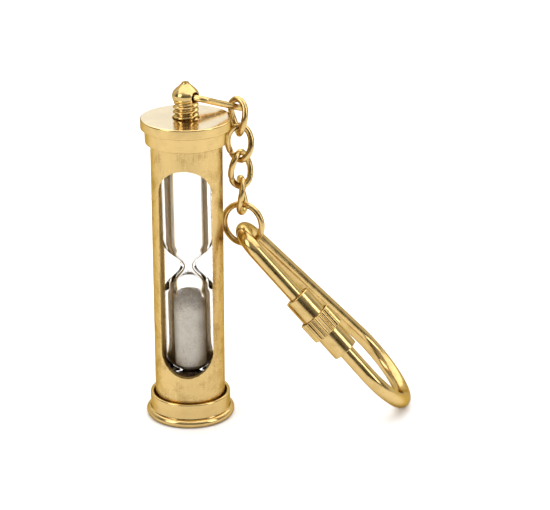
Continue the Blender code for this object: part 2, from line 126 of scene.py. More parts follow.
def make_piece(name, verts, quads, material, body, node, uv=None, sharp=40.0, marks=None):
    """Put arrays into a mesh, close its poles, turn it outwards and tie it to the frame."""
    mesh = bpy.data.meshes.new(name)
    mesh.from_pydata(verts.reshape(-1, 3).tolist(), [], quads.tolist())
    if uv is not None:
        layer = mesh.uv_layers.new(name="surface")
        layer.data.foreach_set("uv", uv.astype(np.float32).ravel())
    if marks is not None:
        mesh.polygons.foreach_set("material_index", marks.astype(np.int32))
    bm = bmesh.new()
    bm.from_mesh(mesh)
    bmesh.ops.remove_doubles(bm, verts=bm.verts, dist=2e-7)
    if bm.calc_volume(signed=True) < 0:
        bmesh.ops.reverse_faces(bm, faces=bm.faces)
    open_edges = sum(len(edge.link_faces) != 2 for edge in bm.edges)
    bm.to_mesh(mesh)
    bm.free()
    mesh.shade_smooth()
    mesh.set_sharp_from_angle(angle=math.radians(sharp))
    for each in material if isinstance(material, list) else [material]:
        mesh.materials.append(each)
    piece = bpy.data.objects.new(name, mesh)
    bpy.context.collection.objects.link(piece)
    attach(piece, body)
    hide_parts(node)
    print(f"{name}: {len(mesh.polygons)} faces, {open_edges} open edges")
    return piece


def turn_profile(profile, steps=TURN_STEPS):
    """Spin (radius, height) points round Z: x = r cos a, y = r sin a, z = height."""
    angle = np.arange(steps) * TAU / steps
    radius, height = profile[:, 0:1], profile[:, 1:2]
    return np.stack([radius * np.cos(angle), radius * np.sin(angle),
                     np.repeat(height, steps, axis=1)], axis=-1)


def rounded(points, radius, steps=6):
    """Replace each corner of an open outline by a quadratic curve that starts radius before it."""
    points = np.asarray(points, float)
    t = np.linspace(0, 1, steps + 1)[:, None]
    out = [points[:1]]
    for before, corner, after in zip(points[:-2], points[1:-1], points[2:]):
        into, away = before - corner, after - corner
        size_in, size_out = np.linalg.norm(into), np.linalg.norm(away)
        reach = min(radius, 0.45 * size_in, 0.45 * size_out)
        start, end = corner + into / size_in * reach, corner + away / size_out * reach
        out.append((1 - t) ** 2 * start + 2 * t * (1 - t) * corner + t ** 2 * end)
    out.append(points[-1:])
    return np.vstack(out)


def sweep(path, radius, normal, sides=WIRE_SIDES, closed=True):
    """A round wire along a path: p + r (cos a * side + sin a * normal), side = tangent x normal.

    The normal is one direction or one per point, and is squared to the path first."""
    path = np.asarray(path, float)
    if closed:
        tangent = np.roll(path, -1, axis=0) - np.roll(path, 1, axis=0)
    else:
        tangent = np.gradient(path, axis=0)
    tangent /= np.linalg.norm(tangent, axis=1, keepdims=True)
    normal = normal - tangent * np.sum(tangent * normal, axis=1, keepdims=True)
    normal /= np.linalg.norm(normal, axis=1, keepdims=True)
    side = np.cross(tangent, normal)
    angle = np.arange(sides) * TAU / sides
    radius = np.broadcast_to(radius, (len(path), sides)) if np.ndim(radius) else radius
    around = np.cos(angle)[None, :, None] * side[:, None]
    around = around + np.sin(angle)[None, :, None] * normal[:, None]
    reach = radius[..., None] if np.ndim(radius) else radius
    return path[:, None] + around * reach


# %% [markdown]
# ## Brass, and how it was worked
#
# All the metal is the same yellow brass, but each piece was worked in its own way. The tube was
# drawn and rubbed along its length, the caps were turned in a lathe, which leaves hair-fine
# circles, and the wire was tumbled. One function makes the metal and its second input says how
# the marks run, so the colour stays the same from piece to piece. Two surfaces differ: the cap's
# faced plate is paler, a painted highlight, and the tube's inside, which nobody polished, is
# rougher and painted dark as painted shade.

# %% Node helpers


def new_material(name):
    """A material with an empty tree but for its Principled shader and output."""
    material = bpy.data.materials.new(name)
    material.use_nodes = True
    return material, material.node_tree, material.node_tree.nodes["Principled BSDF"]


def node(tree, kind, **settings):
    """Add a node. Settings whose names match inputs set them, and the rest set properties."""
    made = tree.nodes.new(kind)
    for key, value in settings.items():
        label = key.replace("_", " ").title()
        if label in made.inputs:
            made.inputs[label].default_value = value
        else:
            setattr(made, key, value)
    return made


def maths(tree, operation, a, b=None):
    """A Math node whose inputs are sockets or plain numbers."""
    made = tree.nodes.new("ShaderNodeMath")
    made.operation = operation
    for socket, value in zip(made.inputs, (a, b)):
        if value is None:
            continue
        if isinstance(value, (int, float)):
            socket.default_value = value
        else:
            tree.links.new(value, socket)
    return made.outputs[0]


def noise(tree, vector, scale, detail=4.0, roughness=0.55):
    """A Noise texture read at a vector."""
    made = node(tree, "ShaderNodeTexNoise", scale=scale, detail=detail, roughness=roughness)
    tree.links.new(vector, made.inputs["Vector"])
    return made.outputs["Fac"]


def ramp(tree, value, stops):
    """A colour ramp from (position, colour) stops."""
    made = tree.nodes.new("ShaderNodeValToRGB")
    elements = made.color_ramp.elements
    while len(elements) < len(stops):
        elements.new(0.5)
    for element, (position, colour) in zip(elements, stops):
        element.position = position
        element.color = (*colour, 1.0) if len(colour) == 3 else colour
    tree.links.new(value, made.inputs["Fac"])
    return made.outputs["Color"]


def span(tree, value, low, high, from_low=0.3, from_high=0.7):
    """Map a texture's usual range to the range low to high."""
    made = tree.nodes.new("ShaderNodeMapRange")
    for socket, number in zip(made.inputs[1:5], (from_low, from_high, low, high)):
        socket.default_value = number
    tree.links.new(value, made.inputs["Value"])
    return made.outputs["Result"]


PER_MM = 1000.0             # metres to mm
BAR_MARKS = (60.0, 14.0)    # round the bar and along it, over its whole UV map
LATHE_MARKS = (6000.0, 0.7)     # across the circles, per metre, and round them, per radian
DRAWN_MARKS = (42.0, 140.0)     # round the tube, per radian, and along it, per metre


def work_marks(tree, run):
    """Coordinates that are stretched along the marks: around a turned piece, along the drawn
    tube, along a bar by its own UV map, or in mm and even in every direction."""
    coords = tree.nodes.new("ShaderNodeTexCoord")
    parts = tree.nodes.new("ShaderNodeSeparateXYZ")
    joined = tree.nodes.new("ShaderNodeCombineXYZ")
    if run == "bar":
        tree.links.new(coords.outputs["UV"], parts.inputs[0])
        marks = [maths(tree, "MULTIPLY", parts.outputs[axis], BAR_MARKS[axis]) for axis in (0, 1)]
    else:
        tree.links.new(coords.outputs["Object"], parts.inputs[0])
        x, y, z = parts.outputs
        if run == "even":
            scaled = [maths(tree, "MULTIPLY", each, PER_MM) for each in (x, y, z)]
            for value, socket in zip(scaled, joined.inputs):
                tree.links.new(value, socket)
            return joined.outputs[0]
        turn = maths(tree, "ARCTAN2", x, y)
        squares = maths(tree, "ADD", maths(tree, "MULTIPLY", x, x), maths(tree, "MULTIPLY", y, y))
        radius = maths(tree, "SQRT", squares)
        if run == "around":
            across, round_it = LATHE_MARKS
            marks = (maths(tree, "MULTIPLY", radius, across), maths(tree, "MULTIPLY", z, across),
                     maths(tree, "MULTIPLY", turn, round_it))
        else:
            round_it, along = DRAWN_MARKS
            marks = (maths(tree, "MULTIPLY", turn, round_it), maths(tree, "MULTIPLY", z, along))
    for value, socket in zip(marks, joined.inputs):
        tree.links.new(value, socket)
    return joined.outputs[0]


# %% Brass
BRASS_LIGHT = (0.60, 0.425, 0.175)
BRASS_DEEP = (0.28, 0.165, 0.045)
EDGE_TINT = (0.50, 0.40, 0.24, 1.0)    # a glancing look at worn brass is darker than a straight one


def brass(name, run, shine, mark_depth, stain=0.25, mark_scale=1.0, light=BRASS_LIGHT,
          dark=BRASS_DEEP, glance=EDGE_TINT):
    """Metal with marks that run one way, mark_depth mm deep. shine is (lowest, highest) roughness,
    stain says how deep the blotches go in colour, and glance is the tint at a glancing angle."""
    material, tree, shader = new_material(name)
    even = work_marks(tree, "even")
    marks = work_marks(tree, run)
    blotch = noise(tree, even, 0.35, 5.0, 0.6)
    hair = noise(tree, marks, mark_scale, 3.0, 0.7)
    speck = noise(tree, even, 2.6, 3.0, 0.6)
    mixed = maths(tree, "ADD", maths(tree, "MULTIPLY", blotch, 0.6), maths(tree, "MULTIPLY", hair, 0.4))
    deep = tuple(l + (d - l) * stain for l, d in zip(light, dark))
    rubbed = tuple(min(channel * 1.06, 1.0) for channel in light)
    colour = ramp(tree, mixed, [(0.32, deep), (0.50, light), (0.68, rubbed)])
    tree.links.new(colour, shader.inputs["Base Color"])
    shader.inputs["Metallic"].default_value = 1.0
    shader.inputs["Specular Tint"].default_value = glance
    rough = maths(tree, "ADD", maths(tree, "MULTIPLY", blotch, 0.5), maths(tree, "MULTIPLY", speck, 0.5))
    tree.links.new(span(tree, rough, *shine), shader.inputs["Roughness"])
    bump = node(tree, "ShaderNodeBump", strength=1.0, distance=mark_depth * MM)
    height = maths(tree, "ADD", maths(tree, "MULTIPLY", hair, 0.75), maths(tree, "MULTIPLY", speck, 0.25))
    tree.links.new(height, bump.inputs["Height"])
    tree.links.new(bump.outputs["Normal"], shader.inputs["Normal"])
    return material


tube_brass = brass("rubbed_tube", "along", (0.18, 0.40), 0.012, 0.75)
turned_brass = brass("turned_cap", "around", (0.10, 0.24), 0.006, 0.35)
milled_brass = brass("milled_edge", "even", (0.30, 0.50), 0.09, 1.0, 2.2)
wire_brass = brass("tumbled_wire", "even", (0.16, 0.30), 0.02, 0.8)
bar_brass = brass("drawn_bar", "bar", (0.12, 0.28), 0.010, 0.55)
# the cap's top plate: a pale colour and a near-white glancing tint as a painted highlight from the lamp
# overhead
top_highlight_brass = brass("cap_top_painted_highlight", "around", (0.10, 0.20), 0.003, 0.1,
                    light=(0.86, 0.74, 0.52), glance=(1.0, 0.97, 0.90, 1.0))
# the tube's inside: a dark colour as painted shade inside the tube, on a rougher finish
inside_shade_brass = brass("inside_painted_shade", "along", (0.35, 0.60), 0.010, 0.8,
                   light=(0.30, 0.20, 0.09), dark=(0.05, 0.03, 0.012))
print("brass finishes:", [finish.name for finish in (tube_brass, turned_brass, milled_brass, wire_brass,
                                                     bar_brass, top_highlight_brass, inside_shade_brass)])

# %% [markdown]
# ## The tube and its window
#
# The window is a round-ended slot milled straight through front and back. A Boolean would leave
# long uneven faces round the hole, which show as creases in polished metal. Here the tube is a
# fine grid instead, and the grid's points that lie within half a cell of the slot's outline move
# onto it. The inner wall uses the same grid, bent so that the cut faces stay parallel, as a
# milling cutter leaves them. Small waves along the outline are the chatter of the cutter. The
# outside, the cut faces and the inside each get a material of their own, and the inside's dark
# colour is painted shade.

# %% Tube sizes
GAP = 0.3 * MM
tube_low, tube_high = (np.array(corner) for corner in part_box("body_tube"))
cap_low, cap_high = (np.array(corner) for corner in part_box("top_cap"))
base_low, base_high = (np.array(corner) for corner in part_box("base_cap"))
TUBE_RADIUS = tube_high[0]
TUBE_WALL = 1.2 * MM
TUBE_BORE = TUBE_RADIUS - TUBE_WALL
WINDOW_HALF = 5.5 * MM
WINDOW_LOW = 10.8 * MM
WINDOW_DROP = 9.4 * MM       # from the cap's top face to the window's top
WINDOW_HIGH = cap_high[2] - WINDOW_DROP
WINDOW_TURN = math.radians(-2.5)
CHATTER = 0.05 * MM
OUTSIDE, CUT, INSIDE = 0, 1, 2    # the order of the tube's finishes


def slot_distance(x, z):
    """Signed distance to a round-ended slot: the distance to its middle line, less its half width."""
    middle = (WINDOW_LOW + WINDOW_HIGH) / 2
    straight = (WINDOW_HIGH - WINDOW_LOW) / 2 - WINDOW_HALF
    over = np.maximum(np.abs(z - middle) - straight, 0.0)
    wave = np.sin(z / MM * 7.3) + 0.7 * np.sin(z / MM * 12.1 + x / MM) + 0.6 * np.sin(z / MM * 4.1 + 2.0)
    return np.hypot(x, over) - WINDOW_HALF - CHATTER * wave * np.clip(np.abs(x) / WINDOW_HALF, 0.15, 1)


def make_tube():
    """Grid over turn and height, snapped to the slot, with an inner wall and the cut faces."""
    cols, rows = 200, 236
    turn = np.arange(cols) * TAU / cols
    height = np.linspace(tube_low[2], tube_high[2], rows)
    turn, height = np.meshgrid(turn, height)
    x, front = TUBE_RADIUS * np.sin(turn), np.cos(turn) >= 0
    z = height.copy()
    away = slot_distance(x, z)
    step = 0.2 * TUBE_RADIUS * TAU / cols
    for _ in range(3):
        slope_x = (slot_distance(x + step, z) - slot_distance(x - step, z)) / (2 * step)
        slope_z = (slot_distance(x, z + step) - slot_distance(x, z - step)) / (2 * step)
        size = np.maximum(np.hypot(slope_x, slope_z), 0.3)
        distance = slot_distance(x, z)
        near = np.abs(away) < 0.55 * max(TUBE_RADIUS * TAU / cols, height[1, 0] - height[0, 0])
        x = np.where(near, x - distance * slope_x / size ** 2, x)
        z = np.where(near, z - distance * slope_z / size ** 2, z)
    inside = (away < 0) & ~near
    # the outer turn again from x, kept on its own half of the tube
    outer = np.arcsin(np.clip(x / TUBE_RADIUS, -1, 1))
    edge_out, edge_in = math.asin(WINDOW_HALF / TUBE_RADIUS), math.asin(WINDOW_HALF / TUBE_BORE)
    beyond = edge_in + (np.abs(outer) - edge_out) * (math.pi / 2 - edge_in) / (math.pi / 2 - edge_out)
    within = np.arcsin(np.clip(TUBE_RADIUS / TUBE_BORE * np.abs(np.sin(outer)), 0, 1))
    inner = np.sign(outer) * np.where(np.abs(outer) < edge_out, within, beyond)

    def wall(radius, angle):
        side = radius * np.sin(angle)
        depth = np.where(front, -1, 1) * radius * np.cos(angle)
        c, s = math.cos(WINDOW_TURN), math.sin(WINDOW_TURN)
        return np.stack([side * c - depth * s, side * s + depth * c, z], axis=-1).reshape(-1, 3)

    quads = grid_quads(rows, cols)
    gone = inside.ravel()[quads]
    full = quads[gone.sum(axis=1) == 0]
    loose = near.ravel()[full].all(axis=1) & (away.ravel()[full].mean(axis=1) < 0)
    full = full[~loose]
    single = gone.sum(axis=1) == 1
    order = (np.argmax(gone[single], axis=1)[:, None] + np.arange(1, 4)) % 4
    corners = np.take_along_axis(quads[single], order, axis=1)
    corners = corners[~near.ravel()[corners].all(axis=1)]
    faces = [list(face) for face in full] + [list(face) for face in corners]
    edges = np.vstack([np.stack([full, np.roll(full, -1, axis=1)], -1).reshape(-1, 2),
                       np.stack([corners, np.roll(corners, -1, axis=1)], -1).reshape(-1, 2)])
    keys = np.sort(edges, axis=1)
    _, first, count = np.unique(keys, axis=0, return_index=True, return_counts=True)
    rim = edges[first[count == 1]]
    shift = rows * cols
    back = [[each + shift for each in reversed(face)] for face in faces]
    cut = np.stack([rim[:, 1], rim[:, 0], rim[:, 0] + shift, rim[:, 1] + shift], axis=1)
    verts = np.vstack([wall(TUBE_RADIUS, outer), wall(TUBE_BORE, inner)])
    marks = np.full(2 * len(faces) + len(cut), OUTSIDE)
    # the inner wall takes the third material, whose dark colour is painted shade
    marks[len(faces):2 * len(faces)] = INSIDE
    marks[2 * len(faces):] = CUT
    used = np.unique(np.concatenate([full.ravel(), corners.ravel()]))
    used = np.concatenate([used, used + shift])
    renumber = np.full(len(verts), -1)
    renumber[used] = np.arange(len(used))
    polygons = [[int(renumber[each]) for each in face] for face in faces + back + cut.tolist()]
    return verts[used], polygons, marks


class Polygons(list):
    """Faces of mixed size, with the tolist that a numpy array would have."""

    def tolist(self):
        return list(self)


tube_verts, tube_faces, tube_marks = make_tube()
make_piece("tube", tube_verts, Polygons(tube_faces), [tube_brass, milled_brass, inside_shade_brass],
           "case", "body_tube", marks=tube_marks, sharp=45.0)

# %% [markdown]
# ## The cap and the foot
#
# Both are turned: a knife edge would not survive a pocket, so every corner is a small curve. The
# outline is a short list of corners, rounded by one helper and spun. The cap's flat top is what
# mirrors the finial, so it stays truly flat, and its marks are only in its own material, whose
# paler colour is a painted highlight.

# %% Cap and foot
SOCKET = TUBE_RADIUS + GAP
SOCKET_FLOOR = 2.3 * MM
SOCKET_WALL = 0.8 * MM
SKIRT = SOCKET + SOCKET_WALL
FLANGE = cap_high[0]
FLANGE_HEIGHT = 2.1 * MM
BEAD_HEIGHT = 1.7 * MM
STUD_RADIUS = 2.65 * MM
STUD_HOLE = STUD_RADIUS + 0.04 * MM

top, low = cap_high[2], cap_low[2]
cap_outline = [(STUD_HOLE, top - SOCKET_FLOOR), (STUD_HOLE, top), (FLANGE, top),
               (FLANGE, top - FLANGE_HEIGHT), (SKIRT + 0.1 * MM, top - FLANGE_HEIGHT - 0.05 * MM),
               (SKIRT, low), (SOCKET, low),
               (SOCKET, top - SOCKET_FLOOR), (STUD_HOLE, top - SOCKET_FLOOR)]
cap_profile = rounded(cap_outline, 0.3 * MM)[::-1]
# the faces of the cap's top take the pale material, a painted highlight
on_top = cap_profile[:-1, 1] > top - 0.02 * MM
plate = np.repeat(on_top & np.roll(on_top, -1), TURN_STEPS)
make_piece("cap", turn_profile(cap_profile[:-1]), grid_quads(len(cap_profile) - 1, TURN_STEPS, True),
           [turned_brass, top_highlight_brass], "case", "top_cap", marks=plate)

bead = np.linspace(-math.pi / 2, math.pi / 2, 22)
bead_curve = np.stack([FLANGE - BEAD_HEIGHT / 2 * (1 - np.cos(bead)),
                       BEAD_HEIGHT / 2 * (1 + np.sin(bead))], -1)
collar = rounded([(SKIRT + 0.1 * MM, BEAD_HEIGHT), (SKIRT, BEAD_HEIGHT + 0.25 * MM), (SKIRT, base_high[2]),
                  (SOCKET, base_high[2]), (SOCKET, SOCKET_FLOOR), (0, SOCKET_FLOOR)], 0.45 * MM)
foot_profile = np.vstack([[(0, 0)], bead_curve, collar])
make_piece("foot", turn_profile(foot_profile), grid_quads(len(foot_profile), TURN_STEPS), turned_brass,
           "case", "base_cap")

# %% [markdown]
# ## The finial
#
# An acorn head sits on a coarse thread. The thread is real geometry: on each row of the grid the
# radius follows height / pitch minus turn / full turn, so one triangle wave in that sum winds
# round as a helix. The cross hole is the one place where a Boolean is the simplest honest tool.

# %% Finial
finial_low, finial_high = (np.array(corner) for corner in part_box("finial"))
hole_centre = np.array(joints["finial_link_swing"]["pos_m"])
hole_axis = np.array(joints["finial_link_swing"]["axis"])
hole_axis /= np.linalg.norm(hole_axis)
HEAD_RADIUS = 2.8 * MM
THREAD_PITCH = 1.05 * MM
THREAD_DEPTH = 0.42 * MM
CROSS_HOLE = 1.15 * MM


def make_finial():
    """Head from a smooth curve through a few widths, thread from a wave in height and turn."""
    steps = 120
    top, plate = finial_high[2], cap_high[2]
    neck = plate + 0.47 * (top - plate)
    rise = top - neck
    share = np.linspace(0, 1, 61)
    belly = np.interp(share, [0, 0.04, 0.12, 0.22, 0.36, 0.50, 0.64, 0.78, 0.90, 0.96, 1.0],
                      [0.86, 0.93, 0.975, 0.995, 1.0, 0.93, 0.76, 0.54, 0.36, 0.29, 0.26])
    smooth = np.convolve(np.pad(belly, 2, mode="edge"), np.ones(5) / 5, mode="valid")
    head = np.stack([HEAD_RADIUS * smooth, neck + rise * share], -1)
    tip = rounded([head[-1], (HEAD_RADIUS * 0.22, top), (0, top)], 0.15 * MM, 4)[1:]
    stem = np.linspace(finial_low[2], neck, 150)[:, None]
    angle = np.arange(steps)[None, :] * TAU / steps
    wave = np.abs(((stem / THREAD_PITCH - angle / TAU) % 1.0) * 2 - 1)
    ridge = np.clip(1.7 * wave - 0.35, 0, 1)
    fade = np.clip((neck - stem) / (0.5 * MM), 0, 1)
    stem_radius = STUD_RADIUS - THREAD_DEPTH * (1 - ridge * fade)
    stem_points = np.stack([stem_radius * np.cos(angle), stem_radius * np.sin(angle),
                            np.repeat(stem, steps, axis=1)], -1)
    foot = turn_profile(np.array([[0, finial_low[2]]]), steps)
    return np.concatenate([foot, stem_points, turn_profile(np.vstack([head, tip]), steps)])


def drill(piece, centre, axis, radius, length):
    """Cut a round hole with an exact Boolean, keep the result and throw the cutter away."""
    bm = bmesh.new()
    bmesh.ops.create_cone(bm, cap_ends=True, segments=48, radius1=radius, radius2=radius, depth=length)
    mesh = bpy.data.meshes.new("drill")
    bm.to_mesh(mesh)
    bm.free()
    cutter = bpy.data.objects.new("drill", mesh)
    bpy.context.collection.objects.link(cutter)
    cutter.rotation_mode = "QUATERNION"
    cutter.rotation_quaternion = Vector(axis).to_track_quat("Z", "Y")
    cutter.location = centre
    boolean = piece.modifiers.new("drill", "BOOLEAN")
    boolean.operation = "DIFFERENCE"
    boolean.object = cutter
    bpy.context.view_layer.update()
    result = bpy.data.meshes.new_from_object(piece.evaluated_get(bpy.context.evaluated_depsgraph_get()))
    piece.modifiers.remove(boolean)
    piece.data = result
    bpy.data.objects.remove(cutter)
    result.shade_smooth()
    result.set_sharp_from_angle(angle=math.radians(38))


finial_verts = make_finial()
finial = make_piece("finial_screw", finial_verts, grid_quads(*finial_verts.shape[:2]), turned_brass,
                    "case", "finial")
drill(finial, hole_centre, hole_axis, CROSS_HOLE, 4 * HEAD_RADIUS)
print("finial drilled:", len(finial.data.polygons), "faces")

# %% [markdown]
# ## The vial
#
# The vial is blown from heavy tube and drawn in to a waist. Glass only looks right when it has two
# walls, so the outline goes up the outside and a second one goes up the inside, and the inner
# skin faces into the hollow. The thick wall is what makes the sand's column look slim. The vial
# leans a little in the tube, as it does on its loose corks.

# %% Vial
VIAL_LEAN = math.radians(-0.6)
vial_middle = (WINDOW_LOW + WINDOW_HIGH) / 2
VIAL_REACH = 1.3 * MM        # past the window's ends
VIAL_PLAY = 1.1 * MM         # to the tube's bore
VIAL_STEPS = 128             # columns round the glass and the sand
VIAL_HALF = (WINDOW_HIGH - WINDOW_LOW) / 2 + VIAL_REACH
VIAL_RADIUS = TUBE_BORE - VIAL_PLAY
GLASS_WALL = 1.8 * MM
END_WALL = 1.2 * MM
CROWN = 2.6 * MM
NECK_TAPER = 5.2 * MM
NECK_RADIUS = 1.7 * MM
NECK_BORE = 0.75 * MM


def waist(z, wide, narrow):
    """Cosine sweep from the narrow neck to the full width over the taper's length."""
    share = np.clip(np.abs(z) / NECK_TAPER, 0, 1)
    return narrow + (wide - narrow) * (1 - np.cos(math.pi * share)) / 2


def vial_outline(wide, narrow, half, crown):
    """Bottom pole, rounded end, waist and rounded top, as (radius, height) from bottom to top."""
    end = np.linspace(-math.pi / 2, 0, 20)
    bottom = np.stack([wide * np.cos(end), -half + crown * (1 + np.sin(end))], -1)
    side = np.linspace(-half + crown, half - crown, 110)[1:-1]
    middle = np.stack([waist(side, wide, narrow), side], -1)
    top = bottom[::-1] * (1, -1)
    bottom[0, 0] = top[-1, 0] = 0.0
    return np.vstack([bottom, middle, top])


def lean(points):
    """Turn points about Y by the vial's lean and lift them to its middle."""
    c, s = math.cos(VIAL_LEAN), math.sin(VIAL_LEAN)
    x, y, z = points[..., 0], points[..., 1], points[..., 2]
    return np.stack([x * c + z * s, y, -x * s + z * c + vial_middle], -1)


def clear_glass():
    """Clear glass with a faint grey tint and a trace of unevenness from blowing."""
    material, tree, shader = new_material("blown_glass")
    shader.inputs["Base Color"].default_value = (0.95, 0.945, 0.93, 1.0)
    shader.inputs["Transmission Weight"].default_value = 1.0
    shader.inputs["IOR"].default_value = 1.47
    wobble = noise(tree, work_marks(tree, "even"), 0.35, 2.0)
    tree.links.new(span(tree, wobble, 0.0, 0.02), shader.inputs["Roughness"])
    bump = node(tree, "ShaderNodeBump", strength=0.3, distance=0.05 * MM)
    tree.links.new(wobble, bump.inputs["Height"])
    tree.links.new(bump.outputs["Normal"], shader.inputs["Normal"])
    return material


glass = clear_glass()
outside = vial_outline(VIAL_RADIUS, NECK_RADIUS, VIAL_HALF, CROWN)
inside = vial_outline(VIAL_RADIUS - GLASS_WALL, NECK_BORE, VIAL_HALF - END_WALL,
                      CROWN - GLASS_WALL / 2)
skins = [lean(turn_profile(each, VIAL_STEPS)).reshape(-1, 3) for each in (outside, inside)]
quads = grid_quads(len(outside), VIAL_STEPS)
vial_quads = np.vstack([quads, quads[:, ::-1] + len(skins[0])])
make_piece("vial", np.vstack(skins), vial_quads, glass, "case", "glass_vial", sharp=60.0)

# %% [markdown]
# ## Sand
#
# The sand lies right against the glass of the lower bulb and heaps up under the neck. Its surface
# is a low mound with a little unevenness. Grains are far too small to model, so they are specks
# in the colour and the bump, and the colour deepens where the neck and the bowl shade the sand.

# %% Sand
SAND_SHARE = 0.85            # of the bulb's straight part
SAND_MOUND = 1.3 * MM
SAND_SLACK = 0.02 * MM       # to the glass


def grains(low, high):
    """Pale sand with darker and lighter grains, in shade under the neck and down in the bowl."""
    material, tree, shader = new_material("fine_sand")
    spot = work_marks(tree, "even")
    fine, broad = noise(tree, spot, 4.5, 3.0, 0.8), noise(tree, spot, 0.5, 3.0)
    mixed = maths(tree, "ADD", maths(tree, "MULTIPLY", fine, 0.7), maths(tree, "MULTIPLY", broad, 0.3))
    parts = tree.nodes.new("ShaderNodeSeparateXYZ")
    tree.links.new(spot, parts.inputs[0])
    level = parts.outputs[2]
    shade = maths(tree, "ADD", span(tree, level, 0.0, -0.22, high - 3.2, high - 0.6),
                  span(tree, level, -0.14, 0.0, low, low + 4.0))
    colour = ramp(tree, maths(tree, "ADD", mixed, shade),
                  [(0.26, (0.34, 0.27, 0.20)), (0.48, (0.88, 0.80, 0.68)), (0.68, (0.97, 0.93, 0.86))])
    tree.links.new(colour, shader.inputs["Base Color"])
    shader.inputs["Roughness"].default_value = 0.9
    bump = node(tree, "ShaderNodeBump", strength=0.6, distance=0.06 * MM)
    tree.links.new(fine, bump.inputs["Height"])
    tree.links.new(bump.outputs["Normal"], shader.inputs["Normal"])
    return material


sand_radius = VIAL_RADIUS - GLASS_WALL - SAND_SLACK
sand_floor = -VIAL_HALF + END_WALL + SAND_SLACK
sand_crown = CROWN - GLASS_WALL / 2
sand_low = sand_floor + sand_crown
sand_top = sand_low + (-NECK_TAPER - sand_low) * SAND_SHARE
end = np.linspace(-math.pi / 2, 0, 20)
bowl = np.stack([sand_radius * np.cos(end), sand_floor + sand_crown * (1 + np.sin(end))], -1)
bowl[0, 0] = 0.0
wall_up = np.stack([np.full(12, sand_radius), np.linspace(sand_low, sand_top, 13)[1:]], -1)
share = np.linspace(0, 1, 26)[1:]
heap = np.stack([sand_radius * (1 - share), sand_top + SAND_MOUND * (1 - (1 - share) ** 1.5)], -1)
sand_profile = np.vstack([bowl, wall_up, heap])
sand_points = turn_profile(sand_profile, VIAL_STEPS)
ripple = 0.12 * MM * np.sin(sand_points[..., 0] / MM * 1.9 + 1.0) * np.cos(sand_points[..., 1] / MM * 1.6)
from_glass = np.clip(1 - np.hypot(sand_points[..., 0], sand_points[..., 1]) / sand_radius, 0, 1)
first_heap_row = len(bowl) + len(wall_up)
sand_points[first_heap_row:, :, 2] += (ripple * from_glass * 2)[first_heap_row:]
make_piece("sand_heap", lean(sand_points), grid_quads(*sand_points.shape[:2]),
           grains((vial_middle + sand_floor) / MM, (vial_middle + sand_top + SAND_MOUND) / MM),
           "case", "sand", sharp=70.0)

# %% [markdown]
# ## Corks
#
# A dark plug of pressed cork holds each end of the vial. Its face has a round recess for the
# vial's end, so the outline steps down once before it is spun. The granules are Voronoi cells.

# %% Corks
CORK_STEPS = 96


def cork_grain():
    """Dark pressed cork: brown granules with darker seams between them."""
    material, tree, shader = new_material("pressed_cork")
    spot = work_marks(tree, "even")
    cells = node(tree, "ShaderNodeTexVoronoi", scale=1.4, feature="DISTANCE_TO_EDGE")
    tree.links.new(spot, cells.inputs["Vector"])
    seam = ramp(tree, cells.outputs["Distance"], [(0.0, (0.04, 0.02, 0.01)), (0.12, (0.26, 0.15, 0.07)),
                                                  (0.6, (0.40, 0.25, 0.12))])
    tree.links.new(seam, shader.inputs["Base Color"])
    shader.inputs["Roughness"].default_value = 0.85
    bump = node(tree, "ShaderNodeBump", strength=0.7, distance=0.1 * MM)
    tree.links.new(cells.outputs["Distance"], bump.inputs["Height"])
    tree.links.new(bump.outputs["Normal"], shader.inputs["Normal"])
    return material


cork = cork_grain()
SEAT = VIAL_RADIUS + GAP + 0.35 * MM    # the recess leaves room for the vial's lean
for name, node_name, sign in (("cork_below", "lower_cork", -1), ("cork_above", "upper_cork", 1)):
    low_corner, high_corner = (np.array(corner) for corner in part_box(node_name))
    face = low_corner[2] if sign > 0 else high_corner[2]
    back_face = high_corner[2] if sign > 0 else low_corner[2]
    seat_floor = vial_middle + sign * (VIAL_HALF + GAP + 0.2 * MM)
    radius = high_corner[0]
    outline = rounded([(0, seat_floor), (SEAT, seat_floor), (SEAT, face), (radius, face),
                       (radius, back_face), (0, back_face)], 0.3 * MM, 4)
    make_piece(name, turn_profile(outline, CORK_STEPS), grid_quads(len(outline), CORK_STEPS), cork,
               "case", node_name)

# %% [markdown]
# ## Wire: the links and the jump ring
#
# A link is a circle carried along an oval. The oval is twisted: its sideways direction turns on
# the way from its top to its bottom, so that each link crosses the next squarely. The jump ring
# is the same shape, round and without a twist. Each joint in the frame gives a hanging point and
# the way that the top there faces, and the first and last joints say which way is down, so no
# link's position is written here. Where the ends of a link meet, the wire is pinched a little,
# which is the butt joint that jewellers leave.

# %% Wire loops
WIRE = 0.7 * MM
WORN_WIRE = 0.95 * WIRE    # tumbling takes a little off the drawn wire
LINK_LENGTH = 7.4 * MM
LINK_PLAY = 2.2 * MM        # inside a link, beside the next one's wire
LINK_WIDTH = 4 * WIRE + LINK_PLAY
LINK_TURN = math.radians(42)
JUMP_RADIUS = 4.35 * MM


def unit(vector):
    """A vector scaled to length one."""
    return np.asarray(vector, float) / np.linalg.norm(vector)


def oval_path(centre, down, across, length, width, turn, steps=90):
    """An ellipse whose sideways direction turns about its length, and the normal at each point.

    centre + down * length/2 * sin a + sideways * width/2 * cos a, where sideways is across turned
    about down by turn/2 * sin a."""
    angle = np.arange(steps)[:, None] * TAU / steps
    lean = turn / 2 * np.sin(angle)
    sideways = across * np.cos(lean) + np.cross(down, across) * np.sin(lean)
    path = centre + down * (length / 2) * np.sin(angle) + sideways * (width / 2) * np.cos(angle)
    return path, np.cross(sideways, down)


